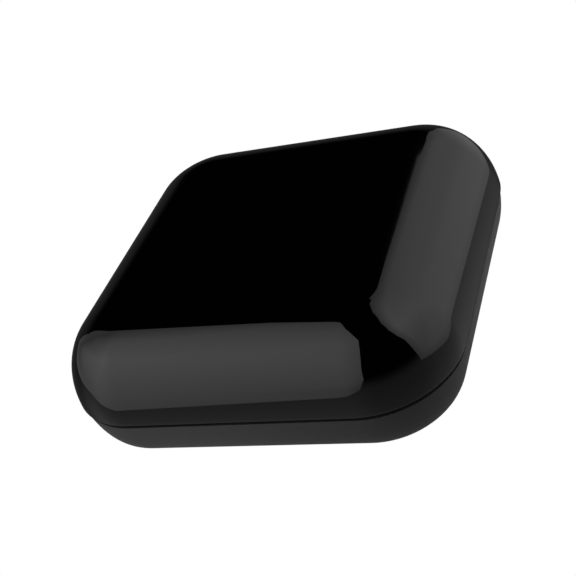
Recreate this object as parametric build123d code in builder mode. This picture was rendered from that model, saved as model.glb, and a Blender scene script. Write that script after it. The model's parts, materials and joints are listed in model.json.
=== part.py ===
from build123d import *
import math
import os

os.makedirs("parts", exist_ok=True)

# Streaming media player: a rounded square box with a gloss cover over a tapered matt base.
# Frame: origin at the centre of the resting plane, +Z up, +Y to the rear (the sockets),
# -Y to the front, +X to the right. Millimetres.

# ---- driving dimensions ----
side = 89.0             # square in plan
height = 29.0           # table to flat top
corner_radius = 19.2    # plan corners at the widest level
seam_z = 12.4           # parting line between cover and base
seam_rise = 0.25        # the cover's edge above the parting line
seam_drop = 0.8         # the base's edge below it, so the line stays open to the eye
shoulder = 13.3         # run of the cover's rounded shoulder, in from the side
base_step = 0.3         # the base stands in from the cover by this much
base_taper = 6.0        # run of the base's rounded side, in from its widest
base_wide_z = 14.0      # level at which the base's side would be upright
foot_stand = 0.6        # the foot stands proud of the base
cover_wall = 2.0
cover_roof = 2.2
base_wall = 2.2
base_floor = 1.8

half = side / 2
corner = half - corner_radius           # centre of each plan corner, in x and in y
floor_z = foot_stand + base_floor       # inside of the base's floor
roof_z = height - cover_roof            # inside of the cover's roof
cover_edge = seam_z + seam_rise
base_edge = seam_z - seam_drop

# board and what stands on it
board_z = 4.6
board_thick = 1.2
deck = board_z + board_thick            # top of the board
board_half = 35.0
board_rear = 38.0
screw_clear = 0.2

# rear panel and window
window_half = 25.0
window_low = 4.2
window_high = 19.4
window_radius = 3.0
panel_gap = 0.15
panel_face = 41.5
panel_thick = 1.5
panel_back = panel_face - panel_thick
socket_face = panel_face - 0.2

# case screws and board screws
case_screw = 32.5       # x and y of the four case screws
boss_radius = 3.0
boss_top = 8.0
board_screw_x = 27.0
board_screw_front = -29.0
board_screw_rear = 26.5


def save(part, label):
    part.label = label
    export_step(part, "parts/" + label + ".step")


def rounded_body(section):
    """A square body with round corners: the section runs straight between the corner
    centres and turns a quarter circle about each of them."""
    with BuildPart() as body:
        for turn in range(4):
            spin = Rotation(0, 0, 90 * turn)
            first = Plane(origin=(corner, corner, 0), x_dir=(1, 0, 0), z_dir=(0, -1, 0))
            out = Plane(spin * first.location)
            axis = Axis(out.origin, (0, 0, 1))
            with BuildSketch(out):
                add(section)
            revolve(axis=axis, revolution_arc=90)
            with BuildSketch(out):
                add(section)
            extrude(amount=2 * corner)
        low = section.bounding_box().min.Y
        high = section.bounding_box().max.Y
        with BuildSketch(Plane.XY.offset(low)):
            Rectangle(2 * corner, 2 * corner)
        extrude(amount=high - low)
    return body.part


def cover_section(low, inset=0.0, roof=0.0):
    """From a corner's centre outwards: upright side, then the rounded shoulder, then flat."""
    reach = corner_radius - inset
    flat = corner_radius - shoulder
    with BuildSketch() as section:
        with BuildLine():
            arc = EllipticalCenterArc(
                (flat, seam_z), shoulder - inset, height - seam_z - roof, 0, arc_size=90
            )
            Polyline(arc @ 1, (0, height - roof), (0, low), (reach, low), arc @ 0)
        make_face()
    return section.sketch


def base_section(inset=0.0, lift=0.0):
    """From a corner's centre outwards: flat bottom, then the rounded side up to its widest."""
    flat = corner_radius - base_step - base_taper
    with BuildSketch() as section:
        with BuildLine():
            arc = EllipticalCenterArc(
                (flat, base_wide_z), base_taper - inset, base_wide_z - foot_stand - lift,
                270, arc_size=90
            )
            Polyline(arc @ 1, (0, base_wide_z), (0, foot_stand + lift), arc @ 0)
        make_face()
    return section.sketch


def block(x_low, x_high, y_low, y_high, z_low, z_high, mode=Mode.ADD):
    """A plain block between two corners, in the part being built."""
    with Locations(((x_low + x_high) / 2, (y_low + y_high) / 2, (z_low + z_high) / 2)):
        Box(x_high - x_low, y_high - y_low, z_high - z_low, mode=mode)


def corners(x_half, y_low, y_high):
    """The four corners of a rectangle that is centred in x."""
    return [(x, y) for x in (-x_half, x_half) for y in (y_low, y_high)]


def window_block(gap, y_low, y_high):
    """The rear window's outline, less a gap all round, as a block."""
    with BuildPart() as block:
        with BuildSketch(Plane.XZ.offset(-y_high)):
            with Locations((0, (window_low + window_high) / 2)):
                RectangleRounded(
                    2 * (window_half - gap), window_high - window_low - 2 * gap, window_radius - gap
                )
        extrude(amount=y_high - y_low)
    return block.part


# ---- construction solids ----
case_screw_spots = corners(case_screw, -case_screw, case_screw)
board_screw_spots = corners(board_screw_x, board_screw_front, board_screw_rear)
envelope = rounded_body(cover_section(5.0))
cavity = rounded_body(cover_section(4.0, cover_wall, cover_roof))
base_body = rounded_body(base_section())
base_hollow = rounded_body(base_section(base_wall, base_floor))
window = window_block(0, 38.0, half + 1)

# ---- top cover: gloss shell with four screw bosses and ribs for the antennas ----
pilot = 1.1
rib_low = 14.6
rib_high = 22.0
rib_y = 9.0
rib_run = 5.0
rib_thick = 1.2
pilot_depth = 9.0
antenna_face = 39.0     # outer face of each antenna, against the ribs

with BuildPart() as cover_inner:
    with BuildSketch(Plane.XY.offset(boss_top)):
        with Locations(*case_screw_spots):
            Circle(boss_radius)
    extrude(amount=height - boss_top)
    with BuildSketch(Plane.XY.offset(rib_low)):
        for x, y in corners(antenna_face + rib_run / 2, -rib_y, rib_y):
            with Locations((x, y)):
                Rectangle(rib_run, rib_thick)
    extrude(amount=rib_high - rib_low)
    add(envelope, mode=Mode.INTERSECT)

with BuildPart() as top_cover:
    add(envelope)
    add(cavity, mode=Mode.SUBTRACT)
    split(bisect_by=Plane.XY.offset(cover_edge), keep=Keep.TOP)
    add(cover_inner.part)
    with BuildSketch(Plane.XY.offset(boss_top)):
        with Locations(*case_screw_spots):
            Circle(pilot)
    extrude(amount=pilot_depth, mode=Mode.SUBTRACT)
    add(window, mode=Mode.SUBTRACT)
save(top_cover.part, "top_cover")

# ---- base shell ----
lip_outer = half - cover_wall - 0.15
lip_inner = lip_outer - 1.35
lip_low = 8.5
lip_high = 13.8
standoff_radius = 3.0
board_pilot = 1.0
foot_outer = 32.0
foot_inner = 28.0
foot_groove = 0.5
foot_gap = 0.05
head_radius = 2.0
head_depth = 2.0
vent_width = 1.4
vent_length = 15.0
vent_pitch = 3.6
vent_count = 10
vent_y = 14.0
label_x = 34.0
label_y = 20.0
label_at = -12.0
label_depth = 0.25

with BuildPart() as base_shell:
    add(base_body)
    split(bisect_by=Plane.XY.offset(base_edge), keep=Keep.BOTTOM)
    add(base_hollow, mode=Mode.SUBTRACT)
    with BuildSketch(Plane.XY.offset(lip_low)):
        RectangleRounded(2 * lip_outer, 2 * lip_outer, lip_outer - corner)
        RectangleRounded(2 * lip_inner, 2 * lip_inner, lip_inner - corner, mode=Mode.SUBTRACT)
    extrude(amount=lip_high - lip_low)
    # bosses under the cover's bosses, and standoffs under the board
    with BuildSketch(Plane.XY.offset(floor_z)):
        with Locations(*case_screw_spots):
            Circle(boss_radius + 0.2)
    extrude(amount=boss_top - floor_z)
    with BuildSketch(Plane.XY.offset(floor_z)):
        with Locations(*board_screw_spots):
            Circle(standoff_radius)
    extrude(amount=board_z - floor_z)
    with BuildSketch(Plane.XY.offset(floor_z - 0.6)):
        with Locations(*board_screw_spots):
            Circle(board_pilot)
    extrude(amount=board_z, mode=Mode.SUBTRACT)
    # counterbored holes for the case screws
    with BuildSketch(Plane.XY.offset(foot_stand)):
        with Locations(*case_screw_spots):
            Circle(head_radius + 0.25)
    extrude(amount=head_depth, mode=Mode.SUBTRACT)
    with BuildSketch(Plane.XY.offset(foot_stand)):
        with Locations(*case_screw_spots):
            Circle(pilot + screw_clear)
    extrude(amount=boss_top, mode=Mode.SUBTRACT)
    # groove for the foot, recess for the label, vents
    with BuildSketch(Plane.XY.offset(foot_stand)):
        RectangleRounded(2 * foot_outer, 2 * foot_outer, foot_outer - corner)
        RectangleRounded(2 * foot_inner, 2 * foot_inner, foot_inner - corner, mode=Mode.SUBTRACT)
    extrude(amount=foot_groove, mode=Mode.SUBTRACT)
    with BuildSketch(Plane.XY.offset(foot_stand)):
        with Locations((0, label_at)):
            RectangleRounded(label_x + 0.3, label_y + 0.3, 1.2)
    extrude(amount=label_depth, mode=Mode.SUBTRACT)
    with BuildSketch(Plane.XY.offset(foot_stand)):
        with Locations((0, vent_y)):
            with GridLocations(vent_pitch, 1, vent_count, 1):
                SlotOverall(vent_length, vent_width, rotation=90)
    extrude(amount=base_floor, mode=Mode.SUBTRACT)
    add(window, mode=Mode.SUBTRACT)
save(base_shell.part, "base_shell")

# ---- foot and label ----
with BuildPart() as foot_pad:
    with BuildSketch():
        wide = foot_outer - foot_gap
        narrow = foot_inner + foot_gap
        RectangleRounded(2 * wide, 2 * wide, wide - corner)
        RectangleRounded(2 * narrow, 2 * narrow, narrow - corner, mode=Mode.SUBTRACT)
    extrude(amount=foot_stand + foot_groove)
    fillet(foot_pad.edges().group_by(Axis.Z)[0], 0.35)
save(foot_pad.part, "foot_pad")

with BuildPart() as rating_label:
    with BuildSketch(Plane.XY.offset(foot_stand + label_depth - 0.15)):
        with Locations((0, label_at)):
            RectangleRounded(label_x, label_y, 1.0)
    extrude(amount=0.15)
save(rating_label.part, "rating_label")

# ---- places of the sockets along the rear panel ----
power_x = -18.4
power_width = 9.0
power_high = 11.0
power_axis = deck + 6.5
bore_radius = 2.9
reset_x = -11.4
reset_z = deck + 2.0
video_x = -1.2
video_width = 14.7
video_high = 5.3
network_x = 15.2
network_width = 16.0
network_high = 12.2

# ---- rear panel ----
reset_hole = 1.45
wall_ring = 1.1
flange_face = 40.3
flange_thick = 1.2
flange_half = 25.8
flange_low = 6.5
flange_high = 20.2
rim_half = 23.7
rim_high = 18.2
with BuildPart() as panel_skin:
    add(rounded_body(cover_section(seam_z - 0.5, 0.35, 0.35)))
    add(rounded_body(base_section(0.35, 0.35)))

with BuildPart() as rear_panel:
    add(window_block(panel_gap, 38.8, half + 1))
    add(panel_skin.part, mode=Mode.INTERSECT)
    # the recess in front of the plate
    add(window_block(panel_gap + wall_ring, panel_face, half + 2), mode=Mode.SUBTRACT)
    # the space behind the plate
    add(window_block(panel_gap + wall_ring, 36.0, panel_back), mode=Mode.SUBTRACT)
    # flange that holds the panel behind the cover's wall
    with BuildSketch(Plane.XZ.offset(-flange_face)):
        with Locations((0, (flange_low + flange_high) / 2)):
            RectangleRounded(2 * flange_half, flange_high - flange_low, 2.0)
        with Locations((0, rim_high / 2)):
            Rectangle(2 * rim_half, rim_high, mode=Mode.SUBTRACT)
    extrude(amount=flange_thick)
    # openings for the sockets and the reset button
    with BuildSketch(Plane.XZ.offset(-panel_face - 1)):
        with Locations((power_x, power_axis)):
            Circle(bore_radius + 0.6)
        with Locations((video_x, deck + video_high / 2)):
            RectangleRounded(video_width + 0.5, video_high + 0.5, 0.8)
        with Locations((network_x, deck + network_high / 2)):
            RectangleRounded(network_width + 0.4, network_high + 0.4, 0.5)
        with Locations((reset_x, reset_z)):
            Circle(reset_hole)
    extrude(amount=4, mode=Mode.SUBTRACT)
save(rear_panel.part, "rear_panel")

# ---- case screws and board screws: flat heads with a hexagon recess ----
drive_depth = 0.7


def screws(spots, head_low, head_high, head_r, shank_r, tip_z):
    """Identical screws; the head is on the tip's far side."""
    with BuildPart() as group:
        with BuildSketch(Plane.XY.offset(min(head_low, head_high))):
            with Locations(*spots):
                Circle(head_r)
        extrude(amount=abs(head_high - head_low))
        low = min(tip_z, head_low)
        with BuildSketch(Plane.XY.offset(low)):
            with Locations(*spots):
                Circle(shank_r)
        extrude(amount=abs(tip_z - head_low))
        outer = group.faces().sort_by(Axis.Z)[0 if tip_z > head_low else -1]
        drive = Plane.XY.offset(head_high)
        with BuildSketch(drive):
            with Locations(*spots):
                RegularPolygon(head_r * 0.5, 6)
        inward = -drive_depth if outer.center().Z > tip_z else drive_depth
        extrude(amount=inward, mode=Mode.SUBTRACT)
    return group.part


case_screws = screws(
    case_screw_spots, foot_stand + head_depth, foot_stand + 0.7, head_radius, pilot, 15.5
)
save(case_screws, "case_screws")

board_screw_head = 1.9
board_screws = screws(
    board_screw_spots, deck, deck + 1.3, board_screw_head, board_pilot, floor_z
)
save(board_screws, "board_screws")

# ---- main board ----
spreader_posts = [(-27.0, -22.0), (14.0, -22.0), (-27.0, 16.0), (14.0, 14.5)]
post_radius = 2.2
with BuildPart() as main_board:
    with BuildSketch(Plane.XY.offset(board_z)):
        with Locations((0, (board_rear - board_half) / 2)):
            RectangleRounded(2 * board_half, board_rear + board_half, 6.0)
        with Locations(*case_screw_spots):
            Circle(boss_radius + 1.2, mode=Mode.SUBTRACT)
        with Locations(*board_screw_spots):
            Circle(board_pilot + screw_clear, mode=Mode.SUBTRACT)
    extrude(amount=board_thick)
save(main_board.part, "main_board")


def chips(label, spots, size_x, size_y, size_z, low=deck, mark=0.0):
    """Square packages standing on the board; mark is the radius of the pin-one dimple."""
    with BuildPart() as group:
        with BuildSketch(Plane.XY.offset(low)):
            with Locations(*spots):
                Rectangle(size_x, size_y)
        extrude(amount=size_z)
        if mark:
            with BuildSketch(Plane.XY.offset(low + size_z - 0.1)):
                with Locations(*[(x - size_x / 2 + 1.2, y + size_y / 2 - 1.2) for x, y in spots]):
                    Circle(mark)
            extrude(amount=0.1, mode=Mode.SUBTRACT)
    save(group.part, label)


# ---- processor, its memory and the can over them ----
can_x = -6.0
can_y = -2.0
can_half = 17.0
can_wall = 0.3
can_high = 2.1
lid_thick = 0.25
processor_high = 1.4
chips("processor", [(can_x - 3, can_y - 2)], 15.0, 15.0, processor_high, mark=0.5)
chips("memory_chips", [(can_x + 11, can_y + 6), (can_x + 11, can_y - 7)], 8.5, 11.5, 1.0, mark=0.4)
chips("flash_chip", [(can_x - 4, can_y + 11.5)], 13.0, 8.0, 1.0, mark=0.4)
chips("power_chips", [(-28.5, -4.0), (-28.5, -12.0)], 5.0, 5.0, 0.9, mark=0.4)

with BuildPart() as shield_frame:
    with BuildSketch(Plane.XY.offset(deck)):
        with Locations((can_x, can_y)):
            Rectangle(2 * can_half, 2 * can_half)
            Rectangle(2 * (can_half - can_wall), 2 * (can_half - can_wall), mode=Mode.SUBTRACT)
    extrude(amount=can_high)
    with BuildSketch(Plane.XY.offset(deck + can_high - can_wall)):
        with Locations((can_x, can_y)):
            Rectangle(2 * can_half, 2 * can_half)
            Rectangle(2 * can_half - 2.6, 2 * can_half - 2.6, mode=Mode.SUBTRACT)
    extrude(amount=can_wall)
save(shield_frame.part, "shield_frame")

lid_half = can_half + lid_thick
with BuildPart() as shield_lid:
    with BuildSketch(Plane.XY.offset(deck + can_high - 1.3)):
        with Locations((can_x, can_y)):
            Rectangle(2 * lid_half, 2 * lid_half)
    extrude(amount=1.3 + lid_thick)
    fillet(shield_lid.edges().group_by(Axis.Z)[-1], 0.2)
    with BuildSketch(Plane.XY.offset(deck + can_high - 1.3)):
        with Locations((can_x, can_y)):
            Rectangle(2 * can_half, 2 * can_half)
    extrude(amount=1.3, mode=Mode.SUBTRACT)
    with BuildSketch(Plane.XY.offset(deck + can_high)):
        with Locations((can_x, can_y - can_half + 3.0)):
            with GridLocations(3.0, 2.2, 9, 2):
                Circle(0.6)
    extrude(amount=lid_thick, mode=Mode.SUBTRACT)
save(shield_lid.part, "shield_lid")

# ---- heat path: pad, lid, pad, spreader plate on four posts ----
lid_top = deck + can_high + lid_thick
spreader_low = 9.6
spreader_thick = 1.5
chips("chip_pad", [(can_x - 3, can_y - 2)], 13.0, 13.0, can_high - processor_high, deck + processor_high)
chips("lid_pad", [(can_x - 3, can_y - 2)], 18.0, 18.0, spreader_low - lid_top, lid_top)

with BuildPart() as heat_spreader:
    with BuildSketch(Plane.XY.offset(spreader_low)):
        with Locations((-6.5, -2.75)):
            RectangleRounded(47.0, 44.5, 3.0)
        with Locations(*spreader_posts):
            Circle(0.95, mode=Mode.SUBTRACT)
        with Locations((-6.5, 13.0)):
            SlotOverall(20.0, 2.2, mode=Mode.SUBTRACT)
    extrude(amount=spreader_thick)
    with BuildSketch(Plane.XY.offset(spreader_low + spreader_thick)):
        with Locations((-6.5, -4.0)):
            with GridLocations(3.0, 1, 9, 1):
                RectangleRounded(1.2, 26.0, 0.5)
    extrude(amount=0.6)
save(heat_spreader.part, "heat_spreader")

with BuildPart() as spreader_standoffs:
    with BuildSketch(Plane.XY.offset(deck)):
        with Locations(*spreader_posts):
            RegularPolygon(post_radius, 6)
            Circle(0.85, mode=Mode.SUBTRACT)
    extrude(amount=spreader_low - deck)
save(spreader_standoffs.part, "spreader_standoffs")

spreader_screws = screws(
    spreader_posts, spreader_low + spreader_thick, spreader_low + spreader_thick + 1.1, 1.6, 0.85,
    deck + 1.2
)
save(spreader_screws, "spreader_screws")

# ---- wireless module with its own can, and the antenna leads ----
module_x = 26.0
module_y = -5.0
module_thick = 0.8
plug_spots = [(22.0, -11.5), (30.0, -11.5)]
plug_high = 1.3
with BuildPart() as wireless_module:
    with BuildSketch(Plane.XY.offset(deck)):
        with Locations((module_x, module_y)):
            Rectangle(14.0, 18.0)
            with GridLocations(14.0, 3.0, 2, 5):
                Circle(0.5, mode=Mode.SUBTRACT)
    extrude(amount=module_thick)
save(wireless_module.part, "wireless_module")

with BuildPart() as wireless_shield:
    with BuildSketch(Plane.XY.offset(deck + module_thick)):
        with Locations((module_x, module_y + 2.5)):
            RectangleRounded(12.0, 11.5, 0.5)
    extrude(amount=1.5)
    fillet(wireless_shield.edges().group_by(Axis.Z)[-1], 0.3)
    with BuildSketch(Plane.XY.offset(deck + module_thick)):
        with Locations((module_x, module_y + 2.5)):
            Rectangle(11.4, 10.9)
    extrude(amount=1.2, mode=Mode.SUBTRACT)
save(wireless_shield.part, "wireless_shield")

lead_radius = 0.55
plug_low = deck + module_thick
lead_z = plug_low + 0.75
with BuildPart() as coax_plugs:
    with BuildSketch(Plane.XY.offset(plug_low)):
        with Locations(*plug_spots):
            Circle(1.25)
    extrude(amount=plug_high)
    with BuildSketch(Plane.XY.offset(plug_low + 0.1)):
        with Locations(*[(x, y - 1.5) for x, y in plug_spots]):
            Rectangle(1.5, 2.0)
    extrude(amount=plug_high - 0.2)
save(coax_plugs.part, "coax_plugs")


def lead(label, points, bends):
    """A thin lead along straight runs joined by tangent arcs."""
    with BuildPart() as wire:
        with BuildLine() as route:
            FilletPolyline(*points, radius=bends)
        with BuildSketch(Plane(origin=route.line @ 0, z_dir=route.line % 0)):
            Circle(lead_radius)
        sweep()
    wire_length = route.wires()[0].length
    straight = math.pi * lead_radius ** 2 * wire_length
    print(label, "length", round(wire_length, 1), "volume ratio", wire.part.volume / straight)
    save(wire.part, label)


antenna_thick = 0.5
lead_side = antenna_face - antenna_thick - lead_radius
plug_exit = plug_spots[0][1] - 2.5
lead("antenna_lead_right", [
    (30.0, plug_exit, lead_z), (30.0, -20.0, lead_z), (35.0, -24.0, 10.5),
    (lead_side, -16.0, 17.0), (lead_side, -7.0, 18.5)
], [3.0, 3.0, 4.0])
lead("antenna_lead_left", [
    (22.0, plug_exit, lead_z), (22.0, -24.0, lead_z), (16.0, -28.3, lead_z), (-20.0, -28.3, lead_z),
    (-34.2, -26.5, 10.0), (-lead_side, -16.0, 16.5), (-lead_side, -7.0, 18.5)
], [3.0, 4.0, 6.0, 5.0, 4.0])

for name, sign in (("antenna_left", -1), ("antenna_right", 1)):
    with BuildPart() as antenna:
        with BuildSketch(Plane.YZ.offset(sign * antenna_face)):
            with Locations((0, 18.5)):
                Rectangle(26.0, 6.6)
            with Locations((4.0, 17.2)):
                Rectangle(14.0, 1.2, mode=Mode.SUBTRACT)
        extrude(amount=-sign * antenna_thick)
    save(antenna.part, name)

# ---- video socket: folded shell, moulded tongue, nineteen contacts ----
sheet = 0.35
video_back = 30.3
tongue_z = deck + sheet + 2.75
tongue_half = 5.6
tongue_thick = 1.2
video_root = 2.6


def video_outline(inset):
    """The socket's outline seen from the rear: a flat top, lower corners cut off."""
    wide = video_width / 2 - inset
    low = deck + inset
    high = deck + video_high - inset
    cut = 1.7
    with BuildSketch() as outline:
        with BuildLine():
            Polyline(
                (-wide, high), (wide, high), (wide, low + cut), (wide - cut, low),
                (-wide + cut, low), (-wide, low + cut), (-wide, high)
            )
        make_face()
    return outline.sketch


with BuildPart() as video_socket_shell:
    with BuildSketch(Plane(origin=(video_x, socket_face, 0), x_dir=(1, 0, 0), z_dir=(0, -1, 0))):
        add(video_outline(0))
        add(video_outline(sheet), mode=Mode.SUBTRACT)
    extrude(amount=socket_face - video_back)
    with BuildSketch(Plane.XY.offset(deck + video_high - 1)):
        with Locations((video_x - 3.5, 37.6), (video_x + 3.5, 37.6)):
            Rectangle(2.0, 4.0)
    extrude(amount=2, mode=Mode.SUBTRACT)
save(video_socket_shell.part, "video_socket_shell")

with BuildPart() as video_socket_tongue:
    with BuildSketch(Plane(origin=(video_x, video_back + video_root, 0), x_dir=(1, 0, 0), z_dir=(0, -1, 0))):
        add(video_outline(sheet))
    extrude(amount=video_root)
    block(video_x - tongue_half, video_x + tongue_half, video_back + 2, socket_face - 1.0,
          tongue_z - tongue_thick / 2, tongue_z + tongue_thick / 2)
    chamfer(video_socket_tongue.faces().sort_by(Axis.Y)[-1].edges(), 0.25)
save(video_socket_tongue.part, "video_socket_tongue")

contact_pitch = 1.0
contact_thick = 0.12
with BuildPart() as video_socket_contacts:
    for count, low in ((10, tongue_z + tongue_thick / 2), (9, tongue_z - tongue_thick / 2 - contact_thick)):
        with BuildSketch(Plane.XY.offset(low)):
            with Locations((video_x, 36.1)):
                with GridLocations(contact_pitch, 1, count, 1):
                    Rectangle(0.45, 6.2)
        extrude(amount=contact_thick)
save(video_socket_contacts.part, "video_socket_contacts")

# ---- network socket: screened housing, eight sprung contacts ----
screen = 0.25
network_back = 25.3
throat_back = 29.0
throat_top = deck + network_high - 1.5
throat_low = throat_top - 6.9
throat_wide = 11.8
latch_step = 1.6
latch_wide = 6.2
latch_narrow = 3.4
wire_pitch = 1.02
comb_start = 1.2
with BuildPart() as network_socket_housing:
    block(network_x - network_width / 2 + screen, network_x + network_width / 2 - screen,
          network_back + screen, socket_face, deck, deck + network_high - screen)
    # throat, then the stepped slot for the plug's latch under it
    with BuildSketch(Plane.XZ.offset(-socket_face)):
        with Locations((network_x, (throat_low + throat_top) / 2)):
            Rectangle(throat_wide, throat_top - throat_low)
        with Locations((network_x, throat_low - latch_step / 2)):
            Rectangle(latch_wide, latch_step)
        with Locations((network_x, throat_low - latch_step)):
            Rectangle(latch_narrow, 2 * latch_step)
    extrude(amount=socket_face - throat_back, mode=Mode.SUBTRACT)
    # comb over the contacts
    with BuildSketch(Plane.XZ.offset(-socket_face + comb_start)):
        with Locations((network_x, throat_top + 0.3)):
            with GridLocations(wire_pitch, 1, 8, 1):
                Rectangle(0.6, 0.6)
    extrude(amount=socket_face - comb_start - throat_back, mode=Mode.SUBTRACT)
save(network_socket_housing.part, "network_socket_housing")

with BuildPart() as network_socket_screen:
    block(network_x - network_width / 2, network_x + network_width / 2, network_back,
          socket_face, deck, deck + network_high)
    block(network_x - network_width / 2 + screen, network_x + network_width / 2 - screen,
          network_back + screen, socket_face + 1, deck - 1, deck + network_high - screen,
          mode=Mode.SUBTRACT)
save(network_socket_screen.part, "network_socket_screen")

wire_thick = 0.35
with BuildPart() as network_socket_contacts:
    for number in range(8):
        x = network_x + (number - 3.5) * wire_pitch
        with BuildSketch(Plane.YZ.offset(x - wire_thick / 2)):
            with BuildLine():
                spring = FilletPolyline(
                    (throat_back + 0.2, throat_top + 0.3), (38.6, throat_top + 0.3),
                    (32.0, throat_top - 2.8), (throat_back + 0.4, throat_top - 3.4), radius=0.5
                )
                offset(spring, amount=wire_thick / 2, side=Side.BOTH)
            make_face()
        extrude(amount=wire_thick)
save(network_socket_contacts.part, "network_socket_contacts")

# ---- power socket: moulded body, centre pin, side contact ----
power_back = 27.3
bore_back = 32.0
pin_radius = 1.05
pin_root = 0.6
pin_length = 8.3
leaf_slot = 38.5
with BuildPart() as power_socket_body:
    block(power_x - power_width / 2, power_x + power_width / 2, power_back,
          panel_back - 0.1, deck, deck + power_high)
    with BuildSketch(Plane.XZ.offset(-panel_back + 0.1)):
        with Locations((power_x, power_axis)):
            Circle(bore_radius + 0.5)
    extrude(amount=-(socket_face - panel_back + 0.1))
    with BuildSketch(Plane.XZ.offset(-socket_face)):
        with Locations((power_x, power_axis)):
            Circle(bore_radius)
    extrude(amount=socket_face - bore_back, mode=Mode.SUBTRACT)
    with BuildSketch(Plane.XZ.offset(-leaf_slot)):
        with Locations((power_x, power_axis - 3.2)):
            Rectangle(2.0, 1.6)
    extrude(amount=leaf_slot - bore_back, mode=Mode.SUBTRACT)
    with BuildSketch(Plane.XZ.offset(-bore_back)):
        with Locations((power_x, power_axis)):
            Circle(pin_root)
    extrude(amount=bore_back - power_back, mode=Mode.SUBTRACT)
save(power_socket_body.part, "power_socket_body")

with BuildPart() as power_centre_pin:
    with BuildSketch(Plane.XZ.offset(-bore_back)):
        with Locations((power_x, power_axis)):
            Circle(pin_radius)
    extrude(amount=-pin_length)
    fillet(power_centre_pin.edges().group_by(Axis.Y)[-1], 0.6)
    with BuildSketch(Plane.XZ.offset(-power_back)):
        with Locations((power_x, power_axis)):
            Circle(pin_root)
    extrude(amount=-(bore_back - power_back))
save(power_centre_pin.part, "power_centre_pin")

with BuildPart() as power_side_contact:
    with BuildSketch(Plane.YZ.offset(power_x - 0.9)):
        with BuildLine():
            leaf = FilletPolyline(
                (bore_back + 0.2, power_axis - 3.75), (34.0, power_axis - 3.7),
                (36.5, power_axis - 2.75), (38.2, power_axis - 3.6), radius=0.8
            )
            offset(leaf, amount=0.15, side=Side.BOTH)
        make_face()
    extrude(amount=1.8)
save(power_side_contact.part, "power_side_contact")

# ---- reset button and the switch behind it ----
travel = 0.3
plunger_radius = 1.2
stem_radius = 0.8
stem_tip = 38.3
stem_root = 36.2
switch_half = 2.2
switch_back = 33.8
switch_face = 37.2
switch_high = 3.8
switch_bore = 1.6
flange_back = 38.9
button_flange = 1.9
button_face = panel_face - 0.5
button_tail = stem_tip + 0.05
with BuildPart() as reset_button:
    with BuildSketch(Plane.XZ.offset(-button_tail)):
        with Locations((reset_x, reset_z)):
            Circle(plunger_radius)
    extrude(amount=-(button_face - button_tail))
    fillet(reset_button.edges().group_by(Axis.Y)[-1], 0.25)
    with BuildSketch(Plane.XZ.offset(-flange_back)):
        with Locations((reset_x, reset_z)):
            Circle(button_flange)
    extrude(amount=-(panel_back - 0.1 - flange_back))
save(reset_button.part, "reset_button")

with BuildPart() as reset_switch_body:
    block(reset_x - switch_half, reset_x + switch_half, switch_back, switch_face,
          deck, deck + switch_high)
    with BuildSketch(Plane.XZ.offset(-switch_face)):
        with Locations((reset_x, reset_z)):
            Circle(stem_radius + 0.2)
    extrude(amount=switch_bore, mode=Mode.SUBTRACT)
save(reset_switch_body.part, "reset_switch_body")

with BuildPart() as reset_switch_stem:
    with BuildSketch(Plane.XZ.offset(-stem_root)):
        with Locations((reset_x, reset_z)):
            Circle(stem_radius)
    extrude(amount=-(stem_tip - stem_root))
save(reset_switch_stem.part, "reset_switch_stem")

# ---- front: remote receiver, status light and its guide ----
receiver_x = -14.0
receiver_half = 2.8
receiver_face = -34.4
receiver_back = -30.6
receiver_high = 6.5
receiver_eye = 3.6
receiver_lens = 1.8
with BuildPart() as remote_receiver:
    block(receiver_x - receiver_half, receiver_x + receiver_half, receiver_face, receiver_back,
          deck, deck + receiver_high)
    with Locations((receiver_x, receiver_face, deck + receiver_eye)):
        Sphere(receiver_lens)
save(remote_receiver.part, "remote_receiver")

light_x = 12.0
light_y = -33.0
guide_z = 15.0
guide_tip = -40.4
guide_thick = 1.8
guide_wide = 2.4
chips("status_light", [(light_x, light_y)], 1.6, 0.8, 0.6)
with BuildPart() as light_guide:
    with BuildSketch(Plane.YZ.offset(light_x - guide_wide / 2)):
        with BuildLine():
            bend = FilletPolyline(
                (light_y, deck + 1.7), (light_y, guide_z), (guide_tip, guide_z), radius=1.6
            )
            offset(bend, amount=guide_thick / 2, side=Side.BOTH)
        make_face()
    extrude(amount=guide_wide)
save(light_guide.part, "light_guide")

# ---- power and timing parts on the board ----
chips("inductors", [(-29.0, 4.0), (-29.0, 11.0), (22.0, 10.5)], 5.6, 5.6, 3.0, mark=0.0)
chips("crystals", [(27.5, 10.0), (-26.5, 22.0)], 3.2, 2.5, 0.8)
chips("network_transformer", [(15.4, 22.4)], 11.0, 4.6, 3.4, mark=0.4)

with BuildPart() as electrolytic_capacitors:
    spots = [(-32.0, 22.5), (-9.0, 27.0), (1.0, 27.0)]
    with BuildSketch(Plane.XY.offset(deck)):
        with Locations(*spots):
            Circle(2.4)
    extrude(amount=7.0)
    fillet(electrolytic_capacitors.edges().group_by(Axis.Z)[-1], 0.4)
save(electrolytic_capacitors.part, "electrolytic_capacitors")

with BuildPart() as chip_capacitors:
    with BuildSketch(Plane.XY.offset(deck)):
        with Locations((-6.0, -22.0)):
            with GridLocations(3.0, 2.0, 9, 2):
                Rectangle(1.6, 0.8)
        with Locations((28.0, 17.0)):
            with GridLocations(3.0, 2.4, 3, 3):
                Rectangle(1.6, 0.8)
    extrude(amount=0.8)
save(chip_capacitors.part, "chip_capacitors")

with BuildPart() as chip_resistors:
    with BuildSketch(Plane.XY.offset(deck)):
        with Locations((-10.0, 20.0)):
            with GridLocations(2.6, 1.8, 8, 2):
                Rectangle(1.0, 0.5)
        with Locations((0.0, -32.0)):
            with GridLocations(2.4, 1.8, 5, 2):
                Rectangle(1.0, 0.5)
    extrude(amount=0.4)
save(chip_resistors.part, "chip_resistors")
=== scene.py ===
import json
import math

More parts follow.
